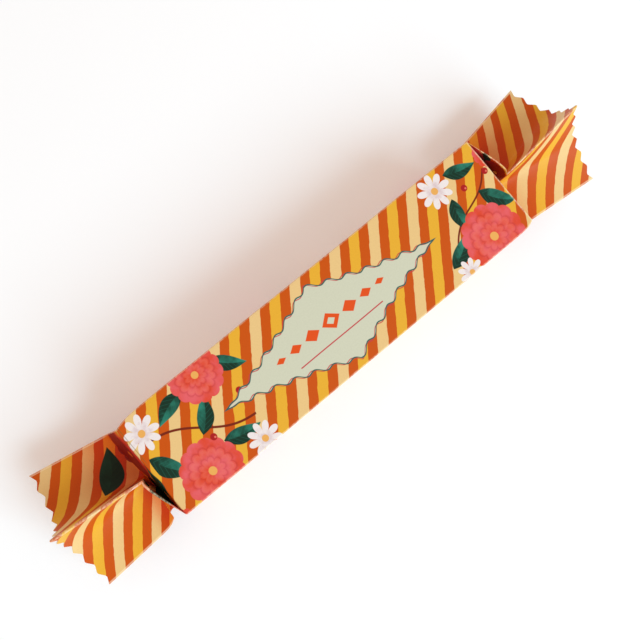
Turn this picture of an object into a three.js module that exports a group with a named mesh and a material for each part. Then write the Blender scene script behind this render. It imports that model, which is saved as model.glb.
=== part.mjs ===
import * as THREE from "three";

// A cracker-shaped card pack lying on one face: a square sleeve whose two ends are twisted shut into a
// four-armed neck and open out again into a tail with a zig-zag rim. It is one folded sheet of card, so it
// is one solid. Millimetres. +X runs along the pack, +Z is up, and the origin is the middle of the face
// that it lies on.

const SIDE = 40; // square section of the sleeve
const LENGTH = 172.2; // sleeve between its two end creases
const LONG_EDGE = 0.6; // narrow flat along each of the four long edges
const CREST = 1.2; // a ridge of the tail is two layers of card and their fold
const WALL = 0.6; // card of the open tail
const NECK_GAP = 1.2; // from the axis to each of the neck's four inward folds, across and up
const TEETH = 6; // on the rim of each panel
const TOOTH_DEPTH = 1.7;
const NECK_SHARPNESS = 8; // weight of the fold's conic: high is a sharp fold
const RIM_SHARPNESS = 2; // low is a wide bend
const TAIL_STATIONS = [0.08, 0.3, 0.55, 0.8]; // rings between the neck and the rim
const HOLLOW_START = 1; // which of those rings the hollow starts at
const PULL_FADE = 22; // a pulled ridge is back on its line after a few times 1 / PULL_FADE of the tail
const SLEEVE_STATIONS = [0, 2, 5, 10, 20]; // rings of the sleeve, inwards from each end crease
const CARD_COLOUR = 0xd9772a;

// Each end lists, in the order of the sleeve's corners (+Y top, -Y top, -Y bottom, +Y bottom), the ridge
// that the corner's long edge turns into. neck and tip are [beyond the end crease, y, z], and pull is how
// far a ridge that is rounded off at its neck gives way there. valleys are where the rim of each panel (top,
// -Y side, bottom, +Y side) bends inwards between its two ridges, and neckOut is how far beyond the crease
// the neck's four inward folds lie. An end also pulls in every second long edge of the sleeve: from there
// the edge bows out by bow, over about bowLength, and runs straight to the other end's corner.
const LEFT_END = {
  side: -1,
  bow: 1.8,
  bowLength: 4.5,
  firstRidge: 0, // the +Y top corner turns down to the +Y side
  neckOut: 7.5,
  ridges: [
    { neck: [8.5, 22.7, 20], tip: [41.9, 29.5, 17.4] },
    { neck: [4.2, 0, 40], tip: [41.3, 4.3, 41.7] },
    { neck: [11, -20.9, 20], tip: [44.7, -23, 17.4], pull: [-2.2, 3.2, 0] },
    { neck: [5.5, 0, 0.6], tip: [43, 3, 1.1] },
  ],
  valleys: [
    [44.1, 10.2, 22.6],
    [44.7, -4.2, 24.5],
    [44.5, -2.3, 14.4],
    [44, 8.4, 14.9],
  ],
};
const RIGHT_END = {
  side: 1,
  bow: 1.6,
  bowLength: 2,
  firstRidge: 1, // the +Y top corner turns in to the middle of the top
  neckOut: 6.8,
  ridges: [
    { neck: [4.1, 0, 40], tip: [43.3, 3, 42.6] },
    { neck: [7.6, -21.5, 20], tip: [44.3, -25.7, 17.5] },
    { neck: [5.5, 0, 0.6], tip: [43, 1.5, 1.1] },
    { neck: [6.3, 21.3, 20], tip: [43, 27, 14.9] },
  ],
  valleys: [
    [45.1, -7.3, 26.2],
    [44.5, -4, 14.4],
    [44, 6.8, 13],
    [45.1, 9.5, 24.1],
  ],
};

const CORNERS = 4;
const HALF = SIDE / 2;
const STEPS = TEETH * 2; // columns along a panel, from tooth tip to notch to tip

// A unit vector in the plane across the pack, turned from +Y towards +Z.
function across(degrees) {
  const angle = THREE.MathUtils.degToRad(degrees);
  return new THREE.Vector3(0, Math.cos(angle), Math.sin(angle));
}

// The section of a folded panel: a conic from one ridge to the next that passes through its valley.
class FoldCurve extends THREE.Curve {
  constructor(from, valley, to, weight) {
    super();
    this.from = from;
    this.to = to;
    this.weight = weight;
    this.control = valley
      .clone()
      .multiplyScalar(2 + 2 * weight)
      .sub(from)
      .sub(to)
      .divideScalar(2 * weight);
  }

  getPoint(t, target = new THREE.Vector3()) {
    const start = (1 - t) * (1 - t);
    const middle = 2 * this.weight * t * (1 - t);
    const end = t * t;
    return target
      .copy(this.from)
      .multiplyScalar(start)
      .addScaledVector(this.control, middle)
      .addScaledVector(this.to, end)
      .divideScalar(start + middle + end);
  }
}

// Points and triangles of one closed surface. Rings run from +Y towards +Z, so a band between two rings
// faces away from the axis where the second ring has the higher x.
class Skin {
  constructor() {
    this.points = [];
    this.triangles = [];
  }

  ring(points) {
    return points.map((point) => this.points.push(point) - 1);
  }

  triangle(a, b, c, mirrored) {
    this.triangles.push(mirrored ? [a, c, b] : [a, b, c]);
  }

  quad(a, b, c, d, mirrored) {
    this.triangle(a, b, c, mirrored);
    this.triangle(a, c, d, mirrored);
  }

  band(from, to, mirrored) {
    from.forEach((start, i) => {
      const next = (i + 1) % from.length;
      this.quad(start, from[next], to[next], to[i], mirrored);
    });
  }

  geometry() {
    const corners = this.triangles.flat().map((index) => this.points[index]);
    const geometry = new THREE.BufferGeometry().setFromPoints(corners);
    geometry.computeVertexNormals();
    return geometry;
  }
}

// How far one of the end's long edges bows out at x.
function bow(end, x) {
  const distance = Math.abs(x - (end.side * LENGTH) / 2);
  return end.bow * (1 - distance / LENGTH) * (1 - Math.exp(-distance / end.bowLength));
}

// The sleeve's section at x: two points for each face, LONG_EDGE in from its corners.
function sleeveRing(x) {
  const points = [];
  for (let face = 0; face < CORNERS; face++) {
    const along = across(180 + 90 * face);
    for (const [corner, inwards] of [[face, LONG_EDGE], [face + 1, -LONG_EDGE]]) {
      const point = across(45 + 90 * corner).multiplyScalar(HALF * Math.SQRT2);
      point.y += Math.sign(point.y) * bow(corner % 2 === 0 ? LEFT_END : RIGHT_END, x);
      point.addScaledVector(along, inwards);
      point.z += HALF;
      point.x = x;
      points.push(point);
    }
  }
  return points;
}

function placed(end, [out, y, z]) {
  return new THREE.Vector3(end.side * (LENGTH / 2 + out), y, z);
}

// A ring of four panels, each a spaced FoldCurve between the crests of two ridges. The layer that a
// ridge's fold wraps round lies CREST further out at the neck, which wrap sets. pulled says that the ridges
// give way by their pull.
function panelRing(end, key, valleys, weight, wrap, pulled = false) {
  const points = [];
  for (let face = 0; face < CORNERS; face++) {
    const ends = [face, face + 1].map((corner, which) => {
      const ridge = end.ridges[corner % CORNERS];
      const sideways = which === 0 ? CREST / 2 : -CREST / 2;
      const point = placed(end, ridge[key]);
      if (pulled && ridge.pull) {
        const [out, y, z] = ridge.pull;
        point.add(new THREE.Vector3(end.side * out, y, z));
      }
      point.addScaledVector(across(90 * (corner + end.firstRidge + 1)), sideways);
      point.x -= sideways * wrap;
      return point;
    });
    const curve = new FoldCurve(ends[0], valleys[face], ends[1], weight);
    points.push(...curve.getSpacedPoints(STEPS));
  }
  return points;
}

function neckValleys(end) {
  return [0, 1, 2, 3].map((face) => {
    const direction = across(45 + 90 * (face + end.firstRidge)).multiplyScalar(NECK_GAP * Math.SQRT2);
    return placed(end, [end.neckOut, direction.y, HALF + direction.z]);
  });
}

// Moves every point of a closed ring towards its inside, so that its sides keep one distance.
function inset(ring, depth) {
  return ring.map((point, i) => {
    const before = ring[(i + ring.length - 1) % ring.length];
    const after = ring[(i + 1) % ring.length];
    const [first, second] = [[before, point], [point, after]].map(([a, b]) =>
      new THREE.Vector3(0, a.z - b.z, b.y - a.y).normalize(),
    );
    const miter = first.clone().add(second).normalize();
    return point.clone().addScaledVector(miter, depth / miter.dot(first));
  });
}

// The ring at a share of the way from the neck to the rim, with what is left there of the ridges' pull.
function between(neck, pulledNeck, rim, share) {
  const left = Math.exp(-PULL_FADE * share);
  return neck.map((point, i) => {
    const pull = pulledNeck[i].clone().sub(point).multiplyScalar(left);
    return point.clone().lerp(rim[i], share).add(pull);
  });
}

// Cuts the zig-zag: every second column ends TOOTH_DEPTH short of the rim.
function toothed(neck, rim) {
  return rim.map((point, i) => {
    const notch = (i % (STEPS + 1)) % 2 === 1;
    const back = neck[i].clone().sub(point).setLength(notch ? TOOTH_DEPTH : 0);
    return point.clone().add(back);
  });
}

// The end's folds from the sleeve's crease to the neck: on each face a triangle that dips to the neck's
// inward fold, and on both sides of it one layer of the flat fin that runs out to the ridge.
function addFolds(skin, sleeve, neck, mirrored) {
  for (let face = 0; face < CORNERS; face++) {
    const near = sleeve[2 * face];
    const far = sleeve[2 * face + 1];
    const first = face * (STEPS + 1);
    for (let j = 0; j < STEPS; j++) {
      const corner = j < STEPS / 2 ? near : far;
      skin.triangle(corner, neck[first + j + 1], neck[first + j], mirrored);
    }
    skin.triangle(near, far, neck[first + STEPS / 2], mirrored);
    const nextFirst = (first + STEPS + 1) % neck.length;
    const nextNear = sleeve[(2 * face + 2) % sleeve.length];
    skin.quad(far, nextNear, neck[nextFirst], neck[first + STEPS], mirrored);
  }
}

function addEnd(skin, end, sleeve) {
  const mirrored = end.side < 0;
  const neck = panelRing(end, "neck", neckValleys(end), NECK_SHARPNESS, 1);
  const pulledNeck = panelRing(end, "neck", neckValleys(end), NECK_SHARPNESS, 1, true);
  const rimValleys = end.valleys.map((valley) => placed(end, valley));
  const rim = panelRing(end, "tip", rimValleys, RIM_SHARPNESS, 0);
  const outside = TAIL_STATIONS.map((share) => between(neck, pulledNeck, rim, share));
  const inside = outside.slice(HOLLOW_START).map((ring) => inset(ring, WALL)).reverse();
  const edge = [toothed(neck, rim), toothed(neck, inset(rim, WALL))];
  const rings = [pulledNeck, ...outside, ...edge, ...inside];

  const indexed = rings.map((ring) => skin.ring(ring));
  addFolds(skin, sleeve, indexed[0], mirrored);
  for (let i = 0; i + 1 < indexed.length; i++) {
    skin.band(indexed[i], indexed[i + 1], mirrored);
  }

  const floor = inside[inside.length - 1];
  const middle = floor.reduce((sum, point) => sum.add(point), new THREE.Vector3());
  const [hub] = skin.ring([middle.divideScalar(floor.length)]);
  const last = indexed[indexed.length - 1];
  last.forEach((index, i) => skin.triangle(index, last[(i + 1) % last.length], hub, mirrored));
}

function pack() {
  const skin = new Skin();
  const leftHalf = SLEEVE_STATIONS.map((distance) => distance - LENGTH / 2);
  const stations = [...leftHalf, ...leftHalf.map((x) => -x).reverse()];
  const rings = stations.map((x) => skin.ring(sleeveRing(x)));
  for (let i = 0; i + 1 < rings.length; i++) {
    skin.band(rings[i], rings[i + 1], false);
  }
  addEnd(skin, LEFT_END, rings[0]);
  addEnd(skin, RIGHT_END, rings[rings.length - 1]);
  const card = new THREE.MeshStandardMaterial({ color: CARD_COLOUR, roughness: 0.4, metalness: 0 });
  const mesh = new THREE.Mesh(skin.geometry(), card);
  mesh.name = "pack";
  return mesh;
}

const group = new THREE.Group();
group.name = "cracker_pack";
group.add(pack());

export default group;
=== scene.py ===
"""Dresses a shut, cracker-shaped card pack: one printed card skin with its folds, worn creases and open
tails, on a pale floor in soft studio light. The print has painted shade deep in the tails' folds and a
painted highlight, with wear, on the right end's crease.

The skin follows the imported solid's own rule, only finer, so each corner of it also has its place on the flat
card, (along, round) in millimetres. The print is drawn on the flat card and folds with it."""
import math

import bmesh
import bpy
import numpy as np
from mathutils import Matrix, Vector, noise


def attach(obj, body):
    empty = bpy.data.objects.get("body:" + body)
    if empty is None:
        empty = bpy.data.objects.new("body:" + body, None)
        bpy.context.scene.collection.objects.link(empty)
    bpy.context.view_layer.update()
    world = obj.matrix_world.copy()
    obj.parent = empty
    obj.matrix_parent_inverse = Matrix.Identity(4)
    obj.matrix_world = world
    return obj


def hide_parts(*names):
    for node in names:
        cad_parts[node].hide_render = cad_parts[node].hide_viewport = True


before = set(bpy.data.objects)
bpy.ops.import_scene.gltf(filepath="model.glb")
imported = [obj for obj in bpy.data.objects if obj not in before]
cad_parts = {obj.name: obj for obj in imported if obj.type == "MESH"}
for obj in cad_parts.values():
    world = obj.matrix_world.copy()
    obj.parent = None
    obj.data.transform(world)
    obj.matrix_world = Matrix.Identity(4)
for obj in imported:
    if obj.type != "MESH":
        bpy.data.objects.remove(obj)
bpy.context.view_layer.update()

MM = 0.001

# --- the folded card, in millimetres ---
SIDE = 40.0  # square section of the sleeve
LENGTH = 172.2  # sleeve between its two end creases
EDGE_RADIUS = 0.6  # of the sleeve's long edges
CREASE_RADIUS = 0.5  # of the creases at the sleeve's ends
CREST_NECK = 0.9  # a ridge's two layers and their fold, at the neck
CREST_RIM = 1.0  # and at the rim
WALL = 0.45  # card of the open tails
NECK_GAP = 1.2  # from the axis to each of the neck's four inward folds, across and up
NECK_WRAP = 1.0  # how far one layer of a ridge lies past the other at the neck, in thicknesses of the two
NECK_SHARPNESS = 8.0  # how sharply a panel turns at its valley
RIM_SHARPNESS = 2.0
PULL_FADE = 30.0  # how soon along the tail it no longer follows a neck that gives way
TEETH = 6  # on the rim of each panel
TOOTH_DEPTH = 1.9
TOOTH_FADE = 6  # how near the rim the teeth are felt
HOLLOW_START = 0.08  # share of the tail where its hollow ends, behind the neck
SAG_SKEW = 0.45  # how near the neck a crest sags most
SAG_DEPTH = 8.0  # how far below the crest the sag is felt
CREASE_HOLD = 2  # the more, the less a sag is felt next to the crease
LEAST_REACH = 0.1  # from the crease to the crest's line, so that a share of it stays finite
NECK_HOLD = 4  # the more, the nearer to the neck a sag dies out away from the crest

# For each end: side is the way it points along X. neck_flat and rim_flat are how far its neck and its rim
# lie from the crease on the flat card. bow is how far the long edges that this end pulls in stand out past
# it, and bow_length how soon. neck_out is how far beyond the crease the neck's inward folds lie. The ridges
# are what the sleeve's corners (+Y top, -Y top, -Y bottom, +Y bottom) turn into, from neck to tip, and
# first_ridge is the way the first one points, in quarter turns from +Y. The valleys are those of the rim's
# panels (top, -Y side, bottom, +Y side). Both are given as (beyond the crease, y, z). pull is how far a
# rounded ridge gives way at its neck, sag how far and which way the fold between it and the sleeve bows, and
# crest its thickness at the neck where that isn't the usual one.
LEFT_END = {
    "side": -1,
    "neck_flat": 23.0,
    "rim_flat": 58.5,
    "bow": 1.8,
    "bow_length": 4.5,
    "first_ridge": 0,
    "neck_out": 7.5,
    "ridges": [
        {"neck": (8.5, 22.7, 20), "tip": (41.9, 29.5, 17.4)},
        {"neck": (4.8, -0.45, 40), "tip": (41.3, 4.3, 41.7), "sag": (0.95, -0.1, 0)},
        {"neck": (11, -21.5, 20), "tip": (44.7, -23, 17.4), "pull": (-1.5, 1.8, 0), "sag": (1.5, 3.3, 0)},
        {"neck": (5.5, 0, 0.6), "tip": (43, 3, 1.1)},
    ],
    "valleys": [(44.1, 10.2, 22.6), (44.7, -4.2, 24.5), (44.5, -2.3, 14.4), (44, 8.4, 14.9)],
}
RIGHT_END = {
    "side": 1,
    "neck_flat": 21.4,
    "rim_flat": 57.6,
    "bow": 1.6,
    "bow_length": 2.0,
    "first_ridge": 1,
    "neck_out": 6.8,
    "ridges": [
        {"neck": (4.1, 0, 40), "tip": (43.3, 3, 42.6), "sag": (1.7, 0.3, 0), "crest": 0.6},
        {"neck": (7.6, -21.5, 20), "tip": (44.3, -25.7, 17.5)},
        {"neck": (5.5, 0, 0.6), "tip": (43, 1.5, 1.1)},
        {"neck": (6.3, 21.3, 20), "tip": (43, 27, 14.9)},
    ],
    "valleys": [(45.1, -7.3, 26.2), (44.5, -4, 14.4), (44, 6.8, 13), (45.1, 9.5, 24.1)],
}

# --- how finely it is modelled ---
CORNERS = 4
QUARTER = 90  # degrees from one corner or ridge to the next
PANEL_STEPS = TEETH * 8  # columns across a panel
ARC_STEPS = 6  # columns round a corner or a ridge
SLEEVE_STEPS = 90  # rows along the sleeve
NEAR_CREASE = (0.6, 2, 4, 7)  # more rows of the sleeve, this far from each end
CREASE_STEPS = 5
FOLD_STEPS = 14  # rows from the crease to the neck
TAIL_STEPS = 30  # rows from the neck to the rim
CURVE_SAMPLES = 600
MERGED = 0.01  # points nearer than this become one
COLLAPSED = 0.005  # edges shorter than this are taken out
SHARP_ANGLE = math.radians(38)
WAVER = 0.16  # how far the card strays from true
WAVER_SIZE = 26.0
WAVER_SEED = 6
RESTING = 1.0  # below this height the card strays less upwards, and on the floor not at all

PRINTED, RAW = 0, 1  # the skin's material slots


def across(degrees):
    """A unit vector in the plane across the pack, turned from +Y towards +Z."""
    angle = math.radians(degrees)
    return np.array([0.0, math.cos(angle), math.sin(angle)])


def units(vectors):
    """The vectors of an array, each scaled to one."""
    return vectors / np.linalg.norm(vectors, axis=-1, keepdims=True)


def shares(steps):
    """Even shares from 0 to 1, as a column that scales rows of points."""
    return np.linspace(0, 1, steps + 1)[:, None]


def placed(end, where):
    """The point of (beyond the crease, y, z) at an end."""
    out, y, z = where
    return np.array([end["side"] * (LENGTH / 2 + out), y, z])


# --- rings: the card's section at one place along the pack ---
# A ring has four panels of points, and between them the arcs round its corners or ridges. Arc c comes
# before panel c.


def fold_curve(start, valley, stop, sharpness):
    """Evenly spaced points of the conic from start to stop that passes through the valley."""
    control = (valley * (2 + 2 * sharpness) - start - stop) / (2 * sharpness)
    t = shares(CURVE_SAMPLES)
    weights = (1 - t) ** 2, 2 * sharpness * t * (1 - t), t**2
    curve = weights[0] * start + weights[1] * control + weights[2] * stop
    curve /= sum(weights)
    reach = np.linalg.norm(np.diff(curve, axis=0), axis=1).cumsum()
    reach = np.concatenate([[0], reach])
    even = np.linspace(0, reach[-1], PANEL_STEPS + 1)
    return np.stack([np.interp(even, reach, curve[:, axis]) for axis in range(3)], axis=1)


def bow(end, x):
    """How far one of the end's long edges bows out at x."""
    distance = abs(x - end["side"] * LENGTH / 2)
    return end["bow"] * (1 - distance / LENGTH) * (1 - math.exp(-distance / end["bow_length"]))


def sleeve_corners(x):
    """The four corners of the sleeve's section, before they are rounded."""
    corners = []
    for corner in range(CORNERS):
        point = across(QUARTER / 2 + QUARTER * corner) * SIDE / math.sqrt(2)
        point[1] += math.copysign(bow(RIGHT_END if corner % 2 else LEFT_END, x), point[1])
        corners.append(point + (x, 0, SIDE / 2))
    return corners


def sleeve_ring(x):
    """The sleeve's section: flat faces and rounded corners."""
    corners = sleeve_corners(x)
    panels, arcs = [], []
    for corner in range(CORNERS):
        here, there = corners[corner], corners[(corner + 1) % CORNERS]
        along = units(there - here) * EDGE_RADIUS
        panels.append(here + along + (there - here - 2 * along) * shares(PANEL_STEPS))
    for corner, here in enumerate(corners):
        t = shares(ARC_STEPS)
        start, stop = panels[corner - 1][-1], panels[corner][0]
        arcs.append((1 - t) ** 2 * start + 2 * t * (1 - t) * here + t**2 * stop)
    return np.array(panels), np.array(arcs)


def ridge_ring(end, key, valleys, sharpness, crest, wrap=0.0, pulled=False):
    """A section of the tail: a conic panel between each two ridges, and the round fold of each ridge.
    wrap moves the layer that a ridge's fold wraps round further out."""
    panels, arcs = [], []
    outwards = [across(QUARTER * (corner + end["first_ridge"])) for corner in range(CORNERS)]
    layers, halves = [], []
    for corner, ridge in enumerate(end["ridges"]):
        crown = placed(end, ridge[key])
        if pulled and "pull" in ridge:
            crown += np.array(ridge["pull"]) * (end["side"], 1, 1)
        half = (ridge.get("crest", crest) if key == "neck" else crest) / 2
        sideways = across(QUARTER * (corner + end["first_ridge"] + 1)) - (wrap, 0, 0)
        inner = crown - outwards[corner] * half
        halves.append(half)
        layers.append((inner - sideways * half, inner + sideways * half))
    for face in range(CORNERS):
        start, stop = layers[face][1], layers[(face + 1) % CORNERS][0]
        panels.append(fold_curve(start, valleys[face], stop, sharpness))
    turn = shares(ARC_STEPS) * math.pi
    for corner, (before, after) in enumerate(layers):
        middle = (before + after) / 2
        crown = outwards[corner] * halves[corner]
        arcs.append(middle + np.cos(turn) * (before - middle) + np.sin(turn) * crown)
    return np.array(panels), np.array(arcs)


def unrolled(ring):
    """A ring's points in one row, from the glue seam at the +Y bottom corner round to it again."""
    panels, arcs = ring
    pieces = [panels[3]]
    for corner in range(3):
        pieces += [arcs[corner][1:-1], panels[corner]]
    pieces.append(arcs[3][1:])
    return np.concatenate(pieces)


def panel_round(face):
    """Where a panel's points lie round the flat card."""
    start = face * SIDE if face < 3 else -SIDE
    return start + EDGE_RADIUS + (SIDE - 2 * EDGE_RADIUS) * shares(PANEL_STEPS)[:, 0]


def arc_round(corner):
    """Where an arc's points lie round the flat card."""
    return corner * SIDE + EDGE_RADIUS * (2 * shares(ARC_STEPS)[:, 0] - 1)


def unrolled_round():
    """Where the points of an unrolled ring lie round the flat card."""
    pieces = [panel_round(3)]
    for corner in range(3):
        pieces += [arc_round(corner)[1:-1], panel_round(corner)]
    pieces.append(arc_round(3)[1:])
    return np.concatenate(pieces)


class Skin:
    """Grids of points with their places on the flat card, joined into one mesh."""

    def __init__(self):
        self.points = []
        self.flat = []
        self.faces = []
        self.slots = []

    def grid(self, points, flat, slot=PRINTED):
        rows, columns = points.shape[:2]
        first = len(self.points)
        self.points.extend(points.reshape(-1, 3))
        self.flat.extend(flat.reshape(-1, 2))
        for row in range(rows - 1):
            for column in range(columns - 1):
                a = first + row * columns + column
                self.faces.append((a, a + 1, a + columns + 1, a + columns))
                self.slots.append(slot)

    def piece(self, name, materials):
        mesh = bpy.data.meshes.new(name)
        points = [wavered(point) * MM for point in self.points]
        mesh.from_pydata(points, [], self.faces)
        flat_map = mesh.uv_layers.new(name="flat")
        corners = np.array(self.flat)[[loop.vertex_index for loop in mesh.loops]]
        flat_map.data.foreach_set("uv", corners.ravel())
        mesh.polygons.foreach_set("material_index", self.slots)
        for material in materials:
            mesh.materials.append(material)
        bm = bmesh.new()
        bm.from_mesh(mesh)
        bmesh.ops.remove_doubles(bm, verts=bm.verts, dist=MERGED * MM)
        bmesh.ops.dissolve_degenerate(bm, edges=bm.edges, dist=COLLAPSED * MM)
        bmesh.ops.recalc_face_normals(bm, faces=bm.faces)
        for face in bm.faces:
            face.smooth = True
        for edge in bm.edges:
            edge.smooth = edge.calc_face_angle(0) < SHARP_ANGLE
        bm.to_mesh(mesh)
        bm.free()
        made = bpy.data.objects.new(name, mesh)
        bpy.context.collection.objects.link(made)
        return made


def wavered(point):
    """A point of the card where it really lies: a little off true, and never under the floor."""
    strays = Vector(noise.noise_vector(Vector(point) / WAVER_SIZE)) * WAVER
    x, y, z = Vector(point) + strays
    free = min(point[2] / RESTING, 1.0)
    return Vector((x, y, max(point[2] * (1 - free) + z * free, 0.0)))


def flat_grid(along, around):
    """The flat card's places of a grid. along is for each row, around for each column, or both for each
    point."""
    rows = np.broadcast_to(along, np.broadcast_shapes(np.shape(along), np.shape(around)))
    columns = np.broadcast_to(around, rows.shape)
    return np.stack([rows, columns], axis=-1)


def add_sleeve(skin):
    reach = LENGTH / 2 - CREASE_RADIUS
    near_ends = [reach - distance for distance in NEAR_CREASE]
    rows = np.linspace(-reach, reach, SLEEVE_STEPS + 1)
    rows = np.unique(np.concatenate([rows, near_ends, [-x for x in near_ends]]))
    points = np.array([unrolled(sleeve_ring(x)) for x in rows])
    skin.grid(points, flat_grid(rows[:, None], unrolled_round()[None, :]))


def sagged(end, points):
    """The rows of points from the crease to the neck, with the crests that sag bowed as they say. The last
    row stays on the neck."""
    side = end["side"]
    nearness = shares(len(points) - 1)[:, :, None] ** NECK_HOLD
    crease = sleeve_corners(side * LENGTH / 2)
    for corner, ridge in enumerate(end["ridges"]):
        if "sag" not in ridge:
            continue
        neck = placed(end, ridge["neck"]) + ridge.get("pull", (0, 0, 0)) * np.array([side, 1, 1])
        crest = crease[corner] - neck
        share = np.clip((points - neck) @ crest / (crest @ crest), 0, 1)[..., None]
        off = points - neck - crest * share
        bowed = np.array(ridge["sag"]) * (side, 1, 1)
        away = units(bowed)
        lean = (off @ away)[..., None]
        depth = np.linalg.norm(off - lean * away, axis=-1, keepdims=True)
        beyond = side * points[..., :1] - LENGTH / 2
        line = side * (neck + crest * share)[..., :1] - LENGTH / 2
        held = np.clip(beyond / np.maximum(line, LEAST_REACH), 0, 1) ** CREASE_HOLD
        felt = np.sin(math.pi * share**SAG_SKEW) * held * np.exp(-((depth / SAG_DEPTH) ** 2))
        points = points + bowed * (felt - felt[-1] * nearness)
    return points


def add_folds(skin, end, neck):
    """The end from the sleeve's crease to the neck. On each face a triangle dips to the neck's inward fold,
    with one layer of a flat fin on both sides of it, and a rounded crest joins each fin to the next."""
    side = end["side"]
    x = side * LENGTH / 2
    before = sleeve_ring(x - side * CREASE_RADIUS)
    crease = sleeve_ring(x)
    neck_panels, neck_arcs = neck
    half = PANEL_STEPS // 2
    for face in range(CORNERS):
        around = panel_round(face)
        ends = around[[0] * (half + 1)], around, around[[-1] * (half + 1)]
        middle = around[[half] * (PANEL_STEPS + 1)]
        sources = [0] * (half + 1), list(range(PANEL_STEPS + 1)), [-1] * (half + 1)
        targets = (
            (neck_panels[face][: half + 1], around[: half + 1]),
            (neck_panels[face][[half] * (PANEL_STEPS + 1)], middle),
            (neck_panels[face][half:], around[half:]),
        )
        for picked, source_round, (target, target_round) in zip(sources, ends, targets):
            source = before[0][face][picked], crease[0][face][picked]
            add_fold(skin, end, *source, target, source_round, target_round)
    for corner in range(CORNERS):
        around = arc_round(corner)
        add_fold(skin, end, before[1][corner], crease[1][corner], neck_arcs[corner], around, around)


def add_fold(skin, end, before, crease, target, source_round, target_round):
    """A ruled strip from the sleeve to the neck, with the crease between them rounded."""
    beyond = crease + units(target - crease) * CREASE_RADIUS
    t = shares(CREASE_STEPS)[:, :, None]
    rounding = (1 - t) ** 2 * before + 2 * t * (1 - t) * crease + t**2 * beyond
    ruled = beyond + (target - beyond) * shares(FOLD_STEPS)[1:, :, None]
    out_rounding = CREASE_RADIUS * (2 * shares(CREASE_STEPS) - 1)
    out_ruled = CREASE_RADIUS + (end["neck_flat"] - CREASE_RADIUS) * shares(FOLD_STEPS)[1:]
    out = np.concatenate([out_rounding, out_ruled])
    around = source_round + (target_round - source_round) * np.clip(out, 0, None) / end["neck_flat"]
    points = sagged(end, np.concatenate([rounding, ruled]))
    skin.grid(points, flat_grid(end["side"] * (LENGTH / 2 + out), around))


def ring_normals(grid, side):
    """Outward normals of a closed grid whose last column repeats its first."""
    along = np.gradient(grid, axis=0)
    closed = np.concatenate([grid[:, -2:-1], grid, grid[:, 1:2]], axis=1)
    around = closed[:, 2:] - closed[:, :-2]
    return units(np.cross(around, along)) * side


def add_tail(skin, end, neck, pulled_neck, rim):
    """The open tail: its printed outside, the zig-zag edge and the plain inside."""
    side = end["side"]
    reach = np.linalg.norm(rim - neck, axis=1)
    around = unrolled_round()
    tooth = np.abs((around / SIDE * TEETH) % 1 * 2 - 1)
    notch = TOOTH_DEPTH * (1 - tooth)
    share = shares(TAIL_STEPS)
    share = share - share**TOOTH_FADE * (notch / reach)[None, :]
    share = share[:, :, None]
    outside = neck + (rim - neck) * share + (pulled_neck - neck) * np.exp(-PULL_FADE * share)
    along = end["neck_flat"] + (end["rim_flat"] - end["neck_flat"]) * share[:, :, 0]
    flat = flat_grid(side * (LENGTH / 2 + along), around[None, :])
    skin.grid(outside, flat)
    inside = outside - ring_normals(outside, side) * WALL
    first = int(np.ceil(HOLLOW_START * TAIL_STEPS))
    skin.grid(inside[first:], flat[first:], RAW)
    skin.grid(np.stack([outside[-1], inside[-1]]), np.stack([flat[-1], flat[-1]]), RAW)
    floor = inside[first]
    hub = np.broadcast_to(floor.mean(axis=0), floor.shape)
    skin.grid(np.stack([floor, hub]), np.stack([flat[first], flat[first]]), RAW)


def add_end(skin, end):
    neck_valleys = []
    for face in range(CORNERS):
        inwards = across(QUARTER / 2 + QUARTER * (face + end["first_ridge"]))
        y, z = inwards[1:] * NECK_GAP * math.sqrt(2)
        neck_valleys.append(placed(end, (end["neck_out"], y, SIDE / 2 + z)))
    rim_valleys = [placed(end, valley) for valley in end["valleys"]]
    neck_rule = (end, "neck", neck_valleys, NECK_SHARPNESS, CREST_NECK, NECK_WRAP)
    pulled = ridge_ring(*neck_rule, pulled=True)
    rim = ridge_ring(end, "tip", rim_valleys, RIM_SHARPNESS, CREST_RIM)
    add_folds(skin, end, pulled)
    add_tail(skin, end, unrolled(ridge_ring(*neck_rule)), unrolled(pulled), unrolled(rim))


# --- materials ---
def srgb(red, green, blue):
    """A linear colour with alpha from the 0 to 255 values a picture editor shows."""
    linear = []
    for value in (red, green, blue):
        value /= 255
        linear.append(value / 12.92 if value <= 0.04045 else ((value + 0.055) / 1.055) ** 2.4)
    return (*linear, 1.0)


ORANGE = srgb(208, 85, 0)
YELLOW = srgb(239, 179, 50)
CREAM = srgb(240, 202, 136)
SAGE = srgb(214, 215, 190)
TEAL_LINE = srgb(50, 98, 92)
RED_LINE = srgb(200, 60, 70)
CORAL = srgb(228, 72, 42)
PINK = srgb(236, 100, 106)
LEAF_DARK = srgb(8, 50, 34)
LEAF_LIGHT = srgb(44, 140, 118)
PETAL = srgb(246, 236, 234)
PETAL_SHADE = srgb(226, 205, 206)
TWIG = srgb(122, 34, 8)
BLOOM_SHADE = srgb(176, 30, 26)
BLOOM_LIGHT = srgb(250, 132, 112)
# painted shade: the bloom's colour deep in the tails' folds
BLOOM_IN_SHADE = srgb(122, 8, 10)
BUTTON = srgb(242, 178, 92)
BERRY = srgb(176, 22, 24)
BERRY_LIGHT = srgb(240, 120, 100)
ORNAMENT = srgb(232, 82, 20)
SCORE = srgb(112, 96, 40)
# the colour of worn card, also used for the painted highlight on the right end's crease
WORN_AND_HIGHLIGHT = srgb(250, 226, 190)
FOLD_SHADE_TINT = (0.92, 0.34, 0.16, 1.0)  # painted shade: how much of red, green and blue the print keeps deep in a fold, where shade and card-to-card bounce light fall
NO_TINT = (1.0, 1.0, 1.0, 1.0)
CARD = srgb(232, 222, 205)
CARD_LIGHT = srgb(246, 238, 224)


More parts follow.
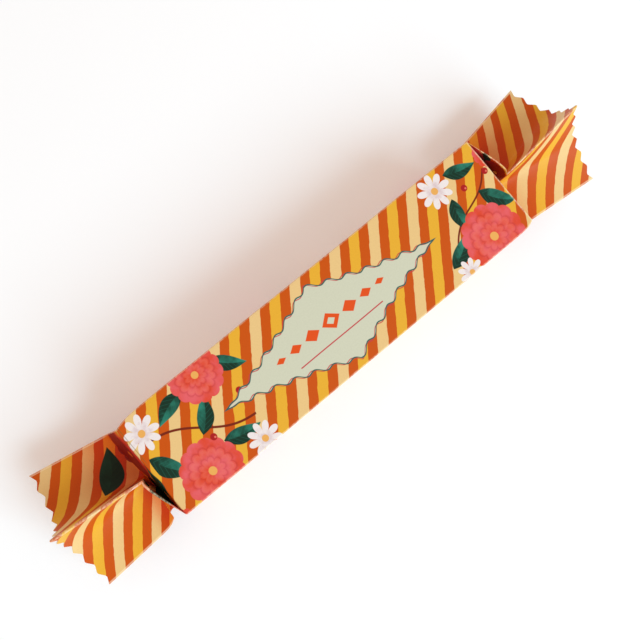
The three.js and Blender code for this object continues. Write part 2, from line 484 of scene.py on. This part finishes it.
class Nodes:
    """Adds shader nodes to a tree. An input is a number, a tuple or another node's output."""

    def __init__(self, tree):
        self.tree = tree

    def put(self, kind, inputs=(), output=0, **settings):
        node = self.tree.nodes.new(kind)
        for name, value in settings.items():
            setattr(node, name, value)
        named = inputs.items() if isinstance(inputs, dict) else enumerate(inputs)
        for key, value in named:
            if isinstance(value, bpy.types.NodeSocket):
                self.tree.links.new(value, node.inputs[key])
            else:
                node.inputs[key].default_value = value
        return node.outputs[output]

    def math(self, operation, *values):
        return self.put("ShaderNodeMath", values, operation=operation)

    def times(self, first, *others):
        for other in others:
            first = self.math("MULTIPLY", first, other)
        return first

    def minus(self, value, less):
        return self.math("SUBTRACT", value, less)

    def scaled(self, value, factor, start):
        """start and the value times factor."""
        return self.math("MULTIPLY_ADD", value, factor, start)

    def size(self, value):
        """The value without its sign."""
        return self.math("ABSOLUTE", value)

    def length(self, vector):
        return self.put("ShaderNodeVectorMath", (vector,), output=1, operation="LENGTH")

    def parts(self, vector):
        """A vector's x and y."""
        split = self.put("ShaderNodeSeparateXYZ", (vector,)).node
        return split.outputs[0], split.outputs[1]

    def fade(self, value, zero_at, one_at):
        """0 to 1, smoothly, as the value goes from zero_at to one_at."""
        inputs = {"Value": value, "From Min": zero_at, "From Max": one_at}
        return self.put("ShaderNodeMapRange", inputs, interpolation_type="SMOOTHSTEP", clamp=False)

    def inside(self, gap, soft):
        """1 where gap is positive and 0 where it is negative, with an edge as wide as soft each way."""
        return self.fade(gap, -soft, soft)

    def mix(self, share, under, over):
        return self.put("ShaderNodeMix", {0: share, 6: under, 7: over}, output=2, data_type="RGBA")

    def choose(self, share, under, over):
        """The same for vectors."""
        return self.put("ShaderNodeMix", {0: share, 4: under, 5: over}, output=1, data_type="VECTOR")

    def noise(self, vector, scale, detail):
        inputs = {"Vector": vector, "Scale": scale, "Detail": detail}
        return self.put("ShaderNodeTexNoise", inputs, noise_dimensions="2D")

    def by_end(self, side, left, right):
        """left where side is -1 and right where it is 1."""
        return self.scaled(side, (right - left) / 2, (right + left) / 2)


# Below, a noise is (scale, detail), with the scale in waves for each millimetre of card. The pair of numbers
# of a fade is where it is 0 and where it is 1, and that of a scaled value is its factor and its start.
SOFT_EDGE = 0.12  # of printed shapes, in millimetres

# --- the motifs of the print, each of radius or half length one ---
SHADE_DEEPER_FROM = (91, 95)  # from how far along the card the motifs are darkened with painted shade
SHADE_DEEPER_SHARE = 0.8


def deepened_in_shade(nodes, flat, colour, dark):
    """The colour, which turns to the dark one on the tails: painted shade for the folds there."""
    out = nodes.fade(nodes.size(nodes.parts(flat)[0]), *SHADE_DEEPER_FROM)
    return nodes.mix(nodes.times(out, SHADE_DEEPER_SHARE), colour, dark)


LEAF_BEND = 0.14
LEAF_WIDTH = 0.40  # half of it, at the middle
LEAF_TAPER = 0.14  # how much narrower the leaf is towards its tip
LEAF_LEAST_WIDTH = 0.1
LEAF_MOTTLE = (0.22, 4.0)
LEAF_LIGHTER = 0.35  # towards the tip
LEAF_LOWER_HALF = (0.1, 1.0)
LEAF_UPPER_HALF = (0.5, 1.3)
LEAF_MIDRIB = 0.02
VEIN_SLANT = 1.1
VEIN_COUNT = 24.0
VEIN_EDGE = (0.9, 1.0)
VEIN_SHARE = 0.28


def draw_leaf(nodes, place, soft, flat):
    """A pointed leaf along its own x axis, one half dark and the other lighter."""
    x, y = nodes.parts(place)
    along = nodes.times(x, x)
    y = nodes.scaled(along, LEAF_BEND, y)
    belly = nodes.minus(1.0, along)
    width = nodes.math("MAXIMUM", nodes.scaled(x, -LEAF_TAPER, LEAF_WIDTH), LEAF_LEAST_WIDTH)
    side = nodes.size(y)
    mask = nodes.inside(nodes.minus(nodes.times(belly, width), side), soft)
    light = nodes.scaled(x, LEAF_LIGHTER, nodes.noise(flat, *LEAF_MOTTLE))
    lower = nodes.mix(nodes.fade(light, *LEAF_LOWER_HALF), LEAF_DARK, LEAF_LIGHT)
    upper = nodes.mix(nodes.fade(light, *LEAF_UPPER_HALF), LEAF_DARK, LEAF_LIGHT)
    colour = nodes.mix(nodes.fade(y, -LEAF_MIDRIB, LEAF_MIDRIB), lower, upper)
    rib = nodes.scaled(side, -VEIN_SLANT, x)
    vein = nodes.fade(nodes.math("COSINE", nodes.times(rib, VEIN_COUNT)), *VEIN_EDGE)
    colour = nodes.mix(nodes.times(vein, VEIN_SHARE), colour, LEAF_LIGHT)
    # on the tails the leaf is darkened with painted shade
    return mask, deepened_in_shade(nodes, flat, colour, LEAF_DARK)


BLOOM_PETALS = 14
BLOOM_NOTCH = 0.09  # between the outermost petals
BLOOM_RINGS = ((14, 0.72, 1.57, 0.30), (10, 0.42, 0.0, 0.26))  # petals, radius, turn and how strongly drawn
BLOOM_RING_NOTCH = 0.12
BLOOM_LOBE = 0.6  # the less, the rounder the petals
BLOOM_MOTTLE = (0.16, 5.0)
BLOOM_MOTTLE_EDGE = (0.25, 0.75)
BLOOM_RIM_OUTSIDE = (-0.09, 0.0)
BLOOM_RIM_INSIDE = (0.02, 0.0)
BLOOM_PETAL_RISE = (0.0, 0.10)
BLOOM_PETAL_FALL = (0.3, 0.08)
BLOOM_BUTTON = 0.13


def draw_bloom(nodes, place, soft, flat):
    """A round double bloom: two rings of petals and a button, tone on tone."""
    x, y = nodes.parts(place)
    radius = nodes.length(place)
    angle = nodes.math("ARCTAN2", y, x)

    def ring(count, reach, depth, turn):
        wave = nodes.math("COSINE", nodes.scaled(angle, count / 2, turn))
        lobe = nodes.math("POWER", nodes.size(wave), BLOOM_LOBE)
        return nodes.minus(nodes.scaled(lobe, depth, reach - depth), radius)

    mottle = nodes.noise(flat, *BLOOM_MOTTLE)
    colour = nodes.mix(nodes.fade(mottle, *BLOOM_MOTTLE_EDGE), CORAL, PINK)
    for count, reach, turn, strength in BLOOM_RINGS:
        gap = ring(count, reach, BLOOM_RING_NOTCH, turn)
        rim = nodes.times(nodes.fade(gap, *BLOOM_RIM_OUTSIDE), nodes.fade(gap, *BLOOM_RIM_INSIDE))
        colour = nodes.mix(nodes.times(rim, strength), colour, BLOOM_SHADE)
        petal = nodes.times(nodes.fade(gap, *BLOOM_PETAL_RISE), nodes.fade(gap, *BLOOM_PETAL_FALL))
        colour = nodes.mix(nodes.times(petal, strength), colour, BLOOM_LIGHT)
    # on the tails the bloom is darkened with painted shade
    colour = deepened_in_shade(nodes, flat, colour, BLOOM_IN_SHADE)
    button = nodes.inside(nodes.minus(BLOOM_BUTTON, radius), soft)
    outline = ring(BLOOM_PETALS, 1.0, BLOOM_NOTCH, 0.0)
    return nodes.inside(outline, soft), nodes.mix(button, colour, BUTTON)


DAISY_PETALS = 9
DAISY_LOBE = 0.55
DAISY_NOTCH = 0.66
DAISY_MOTTLE = (0.5, 3.0)
DAISY_LIGHTER = 0.8  # towards the tips of the petals
DAISY_TONES = (0.45, 1.05)
DAISY_BUTTON = 0.2


def draw_daisy(nodes, place, soft, flat):
    """A pale daisy with a button."""
    x, y = nodes.parts(place)
    radius = nodes.length(place)
    wave = nodes.math("COSINE", nodes.times(nodes.math("ARCTAN2", y, x), DAISY_PETALS / 2))
    lobe = nodes.math("POWER", nodes.size(wave), DAISY_LOBE)
    gap = nodes.minus(nodes.scaled(lobe, DAISY_NOTCH, 1 - DAISY_NOTCH), radius)
    tone = nodes.scaled(radius, DAISY_LIGHTER, nodes.noise(flat, *DAISY_MOTTLE))
    colour = nodes.mix(nodes.fade(tone, *DAISY_TONES), PETAL_SHADE, PETAL)
    button = nodes.inside(nodes.minus(DAISY_BUTTON, radius), soft)
    return nodes.inside(gap, soft), nodes.mix(button, colour, BUTTON)


BERRY_SPOT = (0.3, 0.3, 0.0)
BERRY_SPOT_EDGE = (0.4, 0.2)


def draw_berry(nodes, place, soft, flat):
    """A small round berry with a light spot."""
    spot_place = nodes.put("ShaderNodeVectorMath", (place, BERRY_SPOT), operation="SUBTRACT")
    colour = nodes.mix(nodes.fade(nodes.length(spot_place), *BERRY_SPOT_EDGE), BERRY, BERRY_LIGHT)
    return nodes.inside(nodes.minus(1.0, nodes.length(place)), soft), colour


TWIG_WAVE = 2.6
TWIG_WAVE_DEPTH = 0.12
TWIG_WIDTH = 0.022  # half of it


def draw_twig(nodes, place, soft, flat):
    """A thin waved twig along its own x axis."""
    x, y = nodes.parts(place)
    wave = nodes.times(nodes.math("SINE", nodes.times(x, TWIG_WAVE)), TWIG_WAVE_DEPTH)
    line = nodes.minus(TWIG_WIDTH, nodes.size(nodes.minus(y, wave)))
    ends = nodes.minus(1.0, nodes.size(x))
    return nodes.inside(nodes.math("MINIMUM", line, ends), soft), TWIG


# The print's motifs, under to over: the drawing, a usual size, and for each place (along, round) on the flat
# card, the turn in degrees and the size. Round is 0 at the +Y top edge and 40 at the -Y one. The print
# repeats every two faces, so one list does for the top and the -Y side, and for the other two.
REPEAT = 2 * SIDE
REPEAT_START = -SIDE / 2
MOTIFS = [
    (draw_twig, 18, [((-62, 20), 20, 20), ((70, 20), -35, 16)]),
    # The leaves at (-89.5, 25) and (-97, 29.5) and the bloom at (-98.5, 11) are print set in the left end's
    # fold, with their dark colours placed there also as painted shade.
    (draw_leaf, 7.5, [
        ((-80, 24), 55, 8.5), ((-58, 17), -52, 7.5), ((-52, 31), 12, 7.5), ((-89.5, 25), -80, 10),
        ((-67, 7), 160, 7.5), ((-40, 8), 40, 7.0), ((-98.5, 40.2), 0, 6.2), ((-97, 29.5), -100, 13.5),
        ((-117, 14), -55, 10.5), ((-110, 34), 15, 7.0), ((56, 31), -30, 7.5), ((81, 24), 50, 8.0),
        ((64, 20), 100, 7.0), ((76, 7), 15, 7.0), ((96.5, 5), 65, 6.0), ((-34, 52), 20, 7.5),
        ((-6, 50), 150, 7.5), ((35, 56), 40, 7.0),
    ]),
    (draw_bloom, 11, [
        ((-69, 34), 10, 12.0), ((-52, 4), 0, 10.5), ((70, 34), 25, 13.0), ((-88, 42.5), 0, 5.5),
        ((90, 8), 0, 6.5), ((103.5, 9), 0, 7.5), ((-98.5, 11), 40, 11.5), ((-20, 56), 0, 11.0),
    ]),
    (draw_daisy, 6.5, [
        ((-80, 8), 12, 7.0), ((-47, 37), 30, 6.5), ((63, 7), 0, 7.0), ((54, 39), 20, 5.5),
        ((-109.5, 40), 0, 5.5), ((22, 54), 0, 6.5),
    ]),
    (draw_berry, 1.3, [((-61, 25), 0, 1.3), ((-43, 18), 0, 1.3), ((73, 13), 0, 1.3), ((84, 13), 0, 1.3)]),
]


def nearest_motif(nodes, flat, motifs):
    """The place on the card in the frame of the nearest motif, in units of that motif's size."""
    found = closest = None
    for (x, around), turn, size in motifs:
        copies = [around]
        if around - size < REPEAT_START:
            copies.append(around + REPEAT)
        if around + size > REPEAT_START + REPEAT:
            copies.append(around - REPEAT)
        for centre in copies:
            inputs = {
                "Vector": flat,
                "Location": (x, centre, 0.0),
                "Rotation": (0.0, 0.0, math.radians(turn)),
                "Scale": (size, size, size),
            }
            place = nodes.put("ShaderNodeMapping", inputs, vector_type="TEXTURE")
            reach = nodes.length(place)
            if found is None:
                found, closest = place, reach
            else:
                found = nodes.choose(nodes.math("LESS_THAN", reach, closest), found, place)
                closest = nodes.math("MINIMUM", reach, closest)
    return found


# --- the stripes ---
STRIPE_PERIOD = 19.35  # along the pack, for one orange, yellow, orange and cream
STRIPE_SLANT = 0.748  # how far the stripes move back for each millimetre round the card
STRIPE_EDGES = (1.53, 6.02, 11.0, 15.74)  # where orange, yellow, orange and cream begin
STRIPE_STRAY = 0.7  # how unsteady their hand-cut edges are
STRIPE_STRAY_NOISE = (0.3, 3.0)


def stripes(nodes, flat):
    x, around = nodes.parts(flat)
    stray = nodes.scaled(nodes.noise(flat, *STRIPE_STRAY_NOISE), STRIPE_STRAY, -STRIPE_STRAY / 2)
    phase = nodes.math("ADD", nodes.scaled(around, STRIPE_SLANT, x), stray)
    phase = nodes.math("FLOORED_MODULO", phase, STRIPE_PERIOD)
    colour = CREAM
    for edge, following in zip(STRIPE_EDGES, (ORANGE, YELLOW, ORANGE, CREAM)):
        colour = nodes.mix(nodes.inside(nodes.minus(phase, edge), SOFT_EDGE), colour, following)
    return colour


# --- the label ---
LABEL_CENTRE = (-0.4, 20.6)
LABEL_HALF = (50.9, 16.4)
LABEL_DRAWN_IN = 0.34  # how hollow its sides are
LABEL_EDGE_COSINE = 0.95  # of its sides' slope, which turns a height into a distance from the edge
LABEL_WAVE = 7.3  # its length
LABEL_WAVE_DEPTH = 0.75
LABEL_WAVE_END = (1.0, 0.8)  # the wave dies out towards the tips
SECOND_LINE_SHIFT = 0.9
TEAL_WIDTH = 0.24  # half of it
RED_WIDTH = 0.16
LOZENGES = ((0, (4.2, 3.4)), (9, (3.4, 2.5)), (17, (2.8, 1.8)), (24, (2.2, 1.2)))  # along, and half sizes
LOZENGE_HOLE = (1.9, 1.5)
LOZENGES_ABOVE = 1.0  # the label's middle
RULE_BELOW = 5.6
RULE_WIDTH = 0.22
RULE_REACH = 20.0


def label(nodes, flat, under):
    """The bare label: a sage lozenge with a waved double outline and a small row of lozenges on it."""
    x, around = nodes.parts(flat)
    x = nodes.minus(x, LABEL_CENTRE[0])
    y = nodes.minus(LABEL_CENTRE[1], around)
    far = nodes.math("DIVIDE", nodes.size(x), LABEL_HALF[0])
    high = nodes.math("DIVIDE", nodes.size(y), LABEL_HALF[1])
    # a straight-sided lozenge drawn in a little towards its long tips
    slack = nodes.times(far, nodes.minus(1.0, far), LABEL_DRAWN_IN)
    gap = nodes.minus(nodes.minus(1.0, nodes.math("ADD", far, slack)), high)
    gap = nodes.times(gap, LABEL_HALF[1] * LABEL_EDGE_COSINE)
    wave = nodes.math("SINE", nodes.times(x, 2 * math.pi / LABEL_WAVE))
    second = nodes.math("SINE", nodes.scaled(x, 2 * math.pi / LABEL_WAVE, SECOND_LINE_SHIFT))
    depth = nodes.times(nodes.fade(far, *LABEL_WAVE_END), LABEL_WAVE_DEPTH)
    teal = nodes.scaled(wave, depth, gap)
    red = nodes.scaled(second, depth, gap)
    colour = nodes.mix(nodes.inside(teal, SOFT_EDGE), under, SAGE)
    for edge, half_width, line in ((red, RED_WIDTH, RED_LINE), (teal, TEAL_WIDTH, TEAL_LINE)):
        off = nodes.minus(half_width, nodes.size(edge))
        colour = nodes.mix(nodes.inside(off, SOFT_EDGE), colour, line)
    for along, half in LOZENGES:
        colour = lozenge(nodes, x, y, along, half, colour, ORNAMENT)
    colour = lozenge(nodes, x, y, 0, LOZENGE_HOLE, colour, SAGE)
    rule = nodes.minus(RULE_WIDTH, nodes.size(nodes.math("ADD", y, RULE_BELOW)))
    ends = nodes.minus(RULE_REACH, nodes.size(x))
    return nodes.mix(nodes.inside(nodes.math("MINIMUM", rule, ends), SOFT_EDGE), colour, RED_LINE)


def lozenge(nodes, x, y, along, half, under, colour):
    """A small lozenge on the label, and its mirror image."""
    far = nodes.size(nodes.minus(nodes.size(x), along))
    high = nodes.size(nodes.minus(y, LOZENGES_ABOVE))
    whole = nodes.math("ADD", nodes.math("DIVIDE", far, half[0]), nodes.math("DIVIDE", high, half[1]))
    gap = nodes.times(nodes.minus(1.0, whole), half[1])
    return nodes.mix(nodes.inside(gap, SOFT_EDGE), under, colour)


# --- painted shade in the folds, wear and a painted crease highlight, by how far beyond the end crease the print lies on the flat card ---
FOLD_SHADE_START = (0, 4)
FOLD_SHADE_END_PLAIN = 31  # where the painted shade ends on a plain panel
FOLD_SHADE_END_SHADED = 50  # and on a panel that turns away from the key light, into shade
FOLD_SHADE_DEEPEST = 22
FOLD_SHADE_PLAIN = (0.9, 0.2)  # how strong the painted shade is at the left and the right end
FOLD_SHADE_SHADED_MORE = (0.1, 0.5)
EDGE_WEAR = (0.7, 0.3)  # from a long edge
EDGE_WEAR_SHARE = (0.3, 0.15)  # in patches, and everywhere
PATCHES = (0.9, 4.0)
PATCH_EDGE = (0.38, 0.62)
RIDGE_FOLD = 0.65  # from the middle of a ridge to each of its two folds
RIDGE_WEAR = (0.35, 0.1)
RIDGE_WEAR_START = (22, 26)
RIDGE_WEAR_SHARE = 0.45
# the right end's crease: wear and a painted highlight
CREASE_WEAR_AND_HIGHLIGHT = (0.75, 0.25)
CREASE_WEAR_AND_HIGHLIGHT_SHARE = (0.35, 0.25)  # in patches, and everywhere
SCORE_BEFORE = 0.8  # the end crease
SCORE_EDGE = (0.3, 0.1)
SCORE_STOP = (20, 14)  # round the card
SCORE_SHARE = 0.45


def beyond_crease(nodes, x):
    return nodes.minus(nodes.size(x), LENGTH / 2)


def shaded_in_folds(nodes, flat, under):
    """The print with painted shade in the tails' folds: deeper and redder near the necks, and furthest out on
    the panels that turn away from the key light.
    """
    x, around = nodes.parts(flat)
    out = beyond_crease(nodes, x)
    side = nodes.math("SIGN", x)
    turned = nodes.times(around, side)
    shaded_panel = nodes.math("GREATER_THAN", nodes.math("FLOORED_MODULO", turned, 2 * SIDE), SIDE)
    end = nodes.scaled(shaded_panel, FOLD_SHADE_END_SHADED - FOLD_SHADE_END_PLAIN, FOLD_SHADE_END_PLAIN)
    share = nodes.times(nodes.fade(out, end, FOLD_SHADE_DEEPEST), nodes.fade(out, *FOLD_SHADE_START))
    plain = nodes.by_end(side, *FOLD_SHADE_PLAIN)
    more = nodes.by_end(side, *FOLD_SHADE_SHADED_MORE)
    share = nodes.times(share, nodes.scaled(shaded_panel, more, plain))
    tint = nodes.mix(share, NO_TINT, FOLD_SHADE_TINT)
    return nodes.put("ShaderNodeVectorMath", (under, tint), operation="MULTIPLY")


def worn_and_highlit(nodes, flat, under):
    """The print, thinned along the long edges and on the ridges' two folds, and lightened on the right end's
    crease by wear and a painted highlight, with the score line that shows beside the left end's crease."""
    x, around = nodes.parts(flat)
    edge = nodes.math("PINGPONG", around, SIDE / 2)
    out = beyond_crease(nodes, x)
    right = nodes.math("GREATER_THAN", x, 0.0)
    patchy = nodes.fade(nodes.noise(flat, *PATCHES), *PATCH_EDGE)
    sleeve_edge = nodes.times(nodes.fade(edge, *EDGE_WEAR), nodes.scaled(patchy, *EDGE_WEAR_SHARE))
    fold = nodes.fade(nodes.size(nodes.minus(edge, RIDGE_FOLD)), *RIDGE_WEAR)
    ridge = nodes.times(fold, nodes.fade(out, *RIDGE_WEAR_START), RIDGE_WEAR_SHARE)
    # the right end's crease: wear and a painted highlight where the rounded crease catches the light
    crease = nodes.fade(nodes.size(out), *CREASE_WEAR_AND_HIGHLIGHT)
    crease = nodes.times(crease, right, nodes.scaled(patchy, *CREASE_WEAR_AND_HIGHLIGHT_SHARE))
    share = nodes.math("MAXIMUM", nodes.math("MAXIMUM", sleeve_edge, ridge), crease)
    colour = nodes.mix(share, under, WORN_AND_HIGHLIGHT)
    score = nodes.fade(nodes.size(nodes.math("ADD", out, SCORE_BEFORE)), *SCORE_EDGE)
    score = nodes.times(score, nodes.fade(around, *SCORE_STOP), SCORE_SHARE, nodes.minus(1.0, right))
    return nodes.mix(score, colour, SCORE)


# --- the two materials ---
INK_MOTTLE = (1.6, 6.0)
INK_TONES = (0.10, 0.88)  # how far the print's brightness strays, and from what
GLOSS_MOTTLE = (0.12, 3.0)
GLOSS_ROUGHNESS = (0.16, 0.42)
INK_SPECULAR = 0.2
INK_FIBRES = (4.0, 5.0)
INK_BUMP = {"Strength": 0.05, "Distance": 0.00012}
RAW_FIBRES = (3.0, 6.0)
RAW_FIBRE_EDGE = (0.3, 0.7)
RAW_ROUGHNESS = 0.8
RAW_BUMP = {"Strength": 0.15, "Distance": 0.0001}


def new_material(name):
    """A material, its node helper, its shader's inputs and the place on the flat card."""
    material = bpy.data.materials.new(name)
    material.use_nodes = True
    nodes = Nodes(material.node_tree)
    inputs = material.node_tree.nodes["Principled BSDF"].inputs
    return material, nodes, inputs, nodes.put("ShaderNodeUVMap", uv_map="flat")


def printed_card():
    material, nodes, inputs, flat = new_material("printed card")
    link = material.node_tree.links.new
    colour = stripes(nodes, flat)
    x, around = nodes.parts(flat)
    around = nodes.math("WRAP", around, REPEAT_START + REPEAT, REPEAT_START)
    repeated = nodes.put("ShaderNodeCombineXYZ", (x, around))
    for draw, size, motifs in MOTIFS:
        place = nearest_motif(nodes, repeated, motifs)
        mask, drawn = draw(nodes, place, SOFT_EDGE / size, repeated)
        colour = nodes.mix(mask, colour, drawn)
    colour = label(nodes, flat, colour)
    tone = nodes.scaled(nodes.noise(flat, *INK_MOTTLE), *INK_TONES)
    colour = nodes.put("ShaderNodeVectorMath", {0: colour, 3: tone}, operation="SCALE")
    # painted shade in the tails' folds
    colour = shaded_in_folds(nodes, flat, colour)
    # wear, and a painted highlight on the right end's crease
    link(worn_and_highlit(nodes, flat, colour), inputs["Base Color"])
    link(nodes.scaled(nodes.noise(flat, *GLOSS_MOTTLE), *GLOSS_ROUGHNESS), inputs["Roughness"])
    inputs["Specular IOR Level"].default_value = INK_SPECULAR
    fibres = nodes.noise(flat, *INK_FIBRES)
    link(nodes.put("ShaderNodeBump", {"Height": fibres, **INK_BUMP}), inputs["Normal"])
    return material


def raw_card():
    material, nodes, inputs, flat = new_material("raw card")
    link = material.node_tree.links.new
    fibres = nodes.noise(flat, *RAW_FIBRES)
    link(nodes.mix(nodes.fade(fibres, *RAW_FIBRE_EDGE), CARD, CARD_LIGHT), inputs["Base Color"])
    inputs["Roughness"].default_value = RAW_ROUGHNESS
    link(nodes.put("ShaderNodeBump", {"Height": fibres, **RAW_BUMP}), inputs["Normal"])
    return material


# --- stage: the camera in millimetres, the rest in metres ---
CAMERA_PLACE = Vector((-28.942, 1.952, 273.675))
CAMERA_RIGHT = Vector((0.76249, -0.64205, 0.07987))
CAMERA_UP = Vector((0.63781, 0.76664, 0.07388))
CAMERA_NEAREST = 0.01
SENSOR = 36.0
PHOTO_WIDTH = 640
FOCAL_PIXELS = 625
FLOOR_REACH = 3.0
FLOOR_HEIGHT = -0.0002
FLOOR_COLOUR = (0.82, 0.82, 0.82, 1)
FLOOR_ROUGHNESS = 0.9
FLOOR_GLOW = (0.9, 0.95, 1.0, 1)
FLOOR_GLOW_STRENGTH = 0.2
STUDIO_COLOUR = (0.70, 0.55, 0.46, 1)
STUDIO_STRENGTH = 1.0
KEY_PLACE = (0.5, -1.5, 1.4)
KEY_SIZE = 1.4
KEY_WATTS = 43
KEY_COLOUR = (0.59, 0.85, 1.0)


def place_camera():
    data = bpy.data.cameras.new("camera")
    data.sensor_width = SENSOR
    data.lens = SENSOR * FOCAL_PIXELS / PHOTO_WIDTH
    data.clip_start = CAMERA_NEAREST
    camera = bpy.data.objects.new("camera", data)
    back = CAMERA_RIGHT.cross(CAMERA_UP)
    turn = Matrix((CAMERA_RIGHT, CAMERA_UP, back)).transposed()
    camera.matrix_world = Matrix.Translation(CAMERA_PLACE * MM) @ turn.to_4x4()
    bpy.context.collection.objects.link(camera)
    bpy.context.scene.camera = camera


def add_floor():
    mesh = bpy.data.meshes.new("floor")
    corners = [(-1, -1), (1, -1), (1, 1), (-1, 1)]
    points = [(x * FLOOR_REACH, y * FLOOR_REACH, 0) for x, y in corners]
    mesh.from_pydata(points, [], [(0, 1, 2, 3)])
    floor = bpy.data.objects.new("floor", mesh)
    floor.location.z = FLOOR_HEIGHT
    bpy.context.collection.objects.link(floor)
    material = bpy.data.materials.new("floor")
    material.use_nodes = True
    inputs = material.node_tree.nodes["Principled BSDF"].inputs
    inputs["Base Color"].default_value = FLOOR_COLOUR
    inputs["Roughness"].default_value = FLOOR_ROUGHNESS
    inputs["Emission Color"].default_value = FLOOR_GLOW
    inputs["Emission Strength"].default_value = FLOOR_GLOW_STRENGTH
    mesh.materials.append(material)


def add_lights():
    world = bpy.data.worlds.new("studio")
    bpy.context.scene.world = world
    world.use_nodes = True
    inputs = world.node_tree.nodes["Background"].inputs
    inputs["Color"].default_value = STUDIO_COLOUR
    inputs["Strength"].default_value = STUDIO_STRENGTH
    data = bpy.data.lights.new("key", "AREA")
    data.size = KEY_SIZE
    data.energy = KEY_WATTS
    data.color = KEY_COLOUR
    lamp = bpy.data.objects.new("key", data)
    lamp.location = KEY_PLACE
    lamp.rotation_euler = (-Vector(KEY_PLACE)).to_track_quat("-Z", "Y").to_euler()
    bpy.context.collection.objects.link(lamp)
    bpy.context.scene.view_settings.view_transform = "Standard"


place_camera()
noise.seed_set(WAVER_SEED)
skin = Skin()
add_sleeve(skin)
add_end(skin, LEFT_END)
add_end(skin, RIGHT_END)
pack = skin.piece("card_pack", [printed_card(), raw_card()])
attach(pack, "root")
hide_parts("pack")
add_floor()
add_lights()
